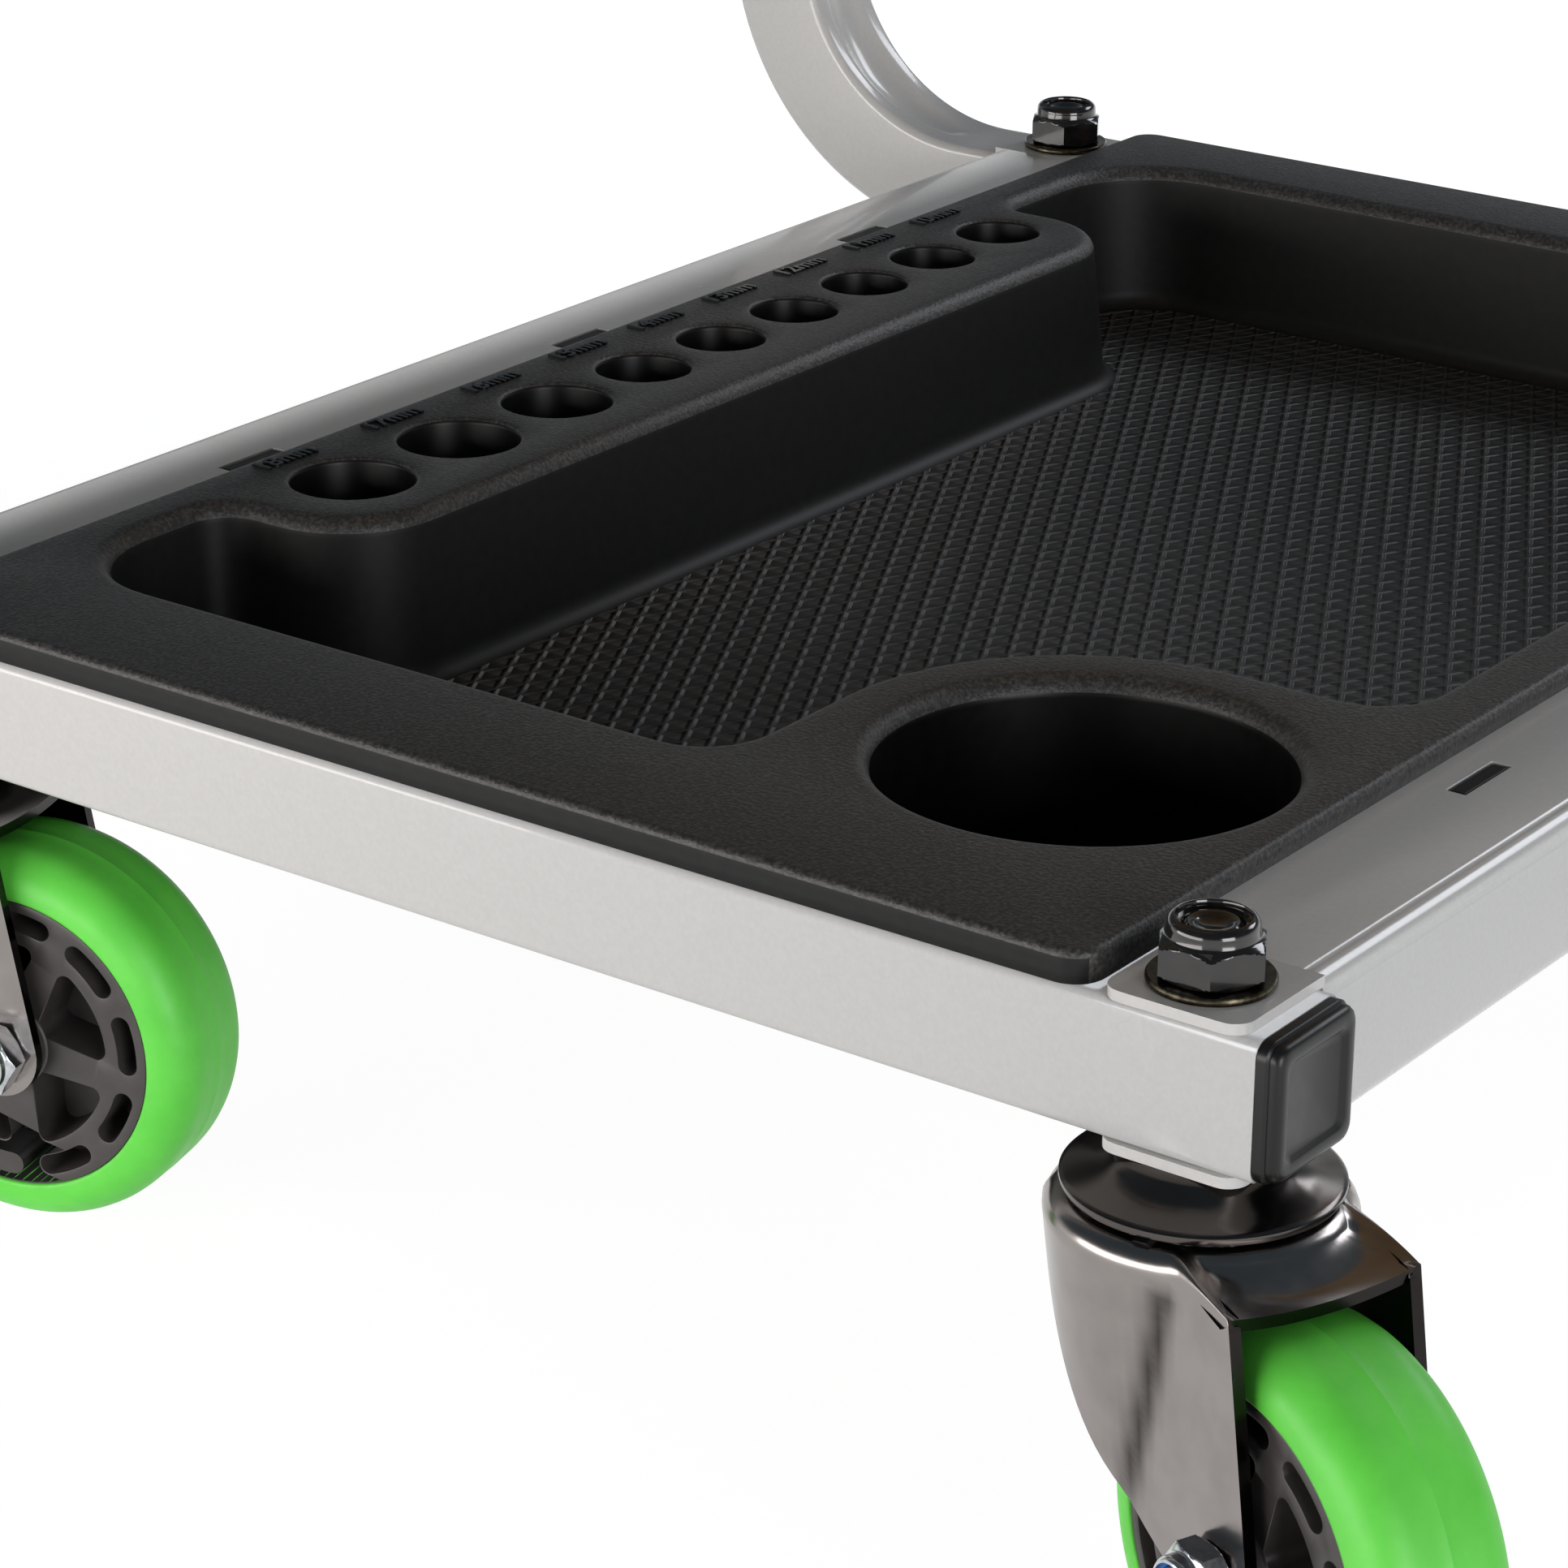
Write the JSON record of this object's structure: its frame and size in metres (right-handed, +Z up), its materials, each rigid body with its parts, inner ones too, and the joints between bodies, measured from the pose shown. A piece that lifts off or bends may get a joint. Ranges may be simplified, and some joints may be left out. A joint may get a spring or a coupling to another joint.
{
  "type": "rolling stool",
  "caption": "Low rolling work stool: padded seat on a bent square-tube frame over a moulded parts tray with socket wells and a cup well, on swivel casters.",
  "frame": {"origin": "on the floor, at the centre of the part's bounding box in plan", "axes": "+Z up, +Y from the near tube to the far tube, +X from the uprights to the open end"},
  "size_m": [0.4792, 0.5022, 0.4199],
  "materials": {
    "frame_paint": "semi-gloss light grey powder coat",
    "tray_plastic": "moulded black, fine stipple",
    "cap_plastic": "satin black",
    "black_zinc": "glossy black plate",
    "passivated_steel": "dark yellow passivated",
    "caster_black": "glossy black dip coat",
    "zinc": "bright zinc",
    "ball_steel": "polished",
    "hub_plastic": "satin dark grey moulding",
    "tyre_green": "satin lime green",
    "plywood": "bare plywood",
    "vinyl": "grained black vinyl"
  },
  "bodies": {
    "frame": {"near_tube": "frame_paint", "far_tube": "frame_paint", "left_rail": "frame_paint", "right_rail": "frame_paint", "near_lower_cap": "cap_plastic", "far_lower_cap": "cap_plastic", "near_upper_cap": "cap_plastic", "far_upper_cap": "cap_plastic", "tray": "tray_plastic", "stem_nuts": "black_zinc", "stem_washers": "passivated_steel", "seat_board": "plywood", "seat_cushion": "vinyl", "seat_bolts": "zinc", "seat_washers": "zinc", "seat_tee_nuts": "zinc", "near_left_stem": "zinc", "near_left_race": "caster_black", "near_right_stem": "zinc", "near_right_race": "caster_black", "far_left_stem": "zinc", "far_left_race": "caster_black", "far_right_stem": "zinc", "far_right_race": "caster_black"},
    "near_left_swivel": {"near_left_fork": "caster_black", "near_left_axle": "zinc", "near_left_axle_nut": "zinc", "near_left_sleeve": "zinc", "near_left_balls": "ball_steel"},
    "near_left_wheel": {"near_left_hub": "hub_plastic", "near_left_tyre": "tyre_green"},
    "near_right_swivel": {"near_right_fork": "caster_black", "near_right_axle": "zinc", "near_right_axle_nut": "zinc", "near_right_sleeve": "zinc", "near_right_balls": "ball_steel"},
    "near_right_wheel": {"near_right_hub": "hub_plastic", "near_right_tyre": "tyre_green"},
    "far_left_swivel": {"far_left_fork": "caster_black", "far_left_axle": "zinc", "far_left_axle_nut": "zinc", "far_left_sleeve": "zinc", "far_left_balls": "ball_steel"},
    "far_left_wheel": {"far_left_hub": "hub_plastic", "far_left_tyre": "tyre_green"},
    "far_right_swivel": {"far_right_fork": "caster_black", "far_right_axle": "zinc", "far_right_axle_nut": "zinc", "far_right_sleeve": "zinc", "far_right_balls": "ball_steel"},
    "far_right_wheel": {"far_right_hub": "hub_plastic", "far_right_tyre": "tyre_green"}
  },
  "joints": [
    {"name": "near_left_swivel_turn", "type": "hinge", "parent": "frame", "child": "near_left_swivel", "pos_m": [-0.13857, -0.21088, 0.06], "axis": [0, 0, 1], "continuous": true},
    {"name": "near_left_wheel_spin", "type": "hinge", "parent": "near_left_swivel", "child": "near_left_wheel", "pos_m": [-0.10668, -0.20239, 0.04], "axis": [-0.2571, 0.9664, 0], "continuous": true},
    {"name": "near_right_swivel_turn", "type": "hinge", "parent": "frame", "child": "near_right_swivel", "pos_m": [0.16943, -0.21088, 0.06], "axis": [0, 0, 1], "continuous": true},
    {"name": "near_right_wheel_spin", "type": "hinge", "parent": "near_right_swivel", "child": "near_right_wheel", "pos_m": [0.19978, -0.22382, 0.04], "axis": [0.3923, 0.9198, 0], "continuous": true},
    {"name": "far_left_swivel_turn", "type": "hinge", "parent": "frame", "child": "far_left_swivel", "pos_m": [-0.13857, 0.21213, 0.06], "axis": [0, 0, 1], "continuous": true},
    {"name": "far_left_wheel_spin", "type": "hinge", "parent": "far_left_swivel", "child": "far_left_wheel", "pos_m": [-0.11154, 0.1932, 0.04], "axis": [0.5736, 0.8192, 0], "continuous": true},
    {"name": "far_right_swivel_turn", "type": "hinge", "parent": "frame", "child": "far_right_swivel", "pos_m": [0.16943, 0.21213, 0.06], "axis": [0, 0, 1], "continuous": true},
    {"name": "far_right_wheel_spin", "type": "hinge", "parent": "far_right_swivel", "child": "far_right_wheel", "pos_m": [0.19978, 0.22507, 0.04], "axis": [-0.3923, 0.9198, 0], "continuous": true}
  ]
}
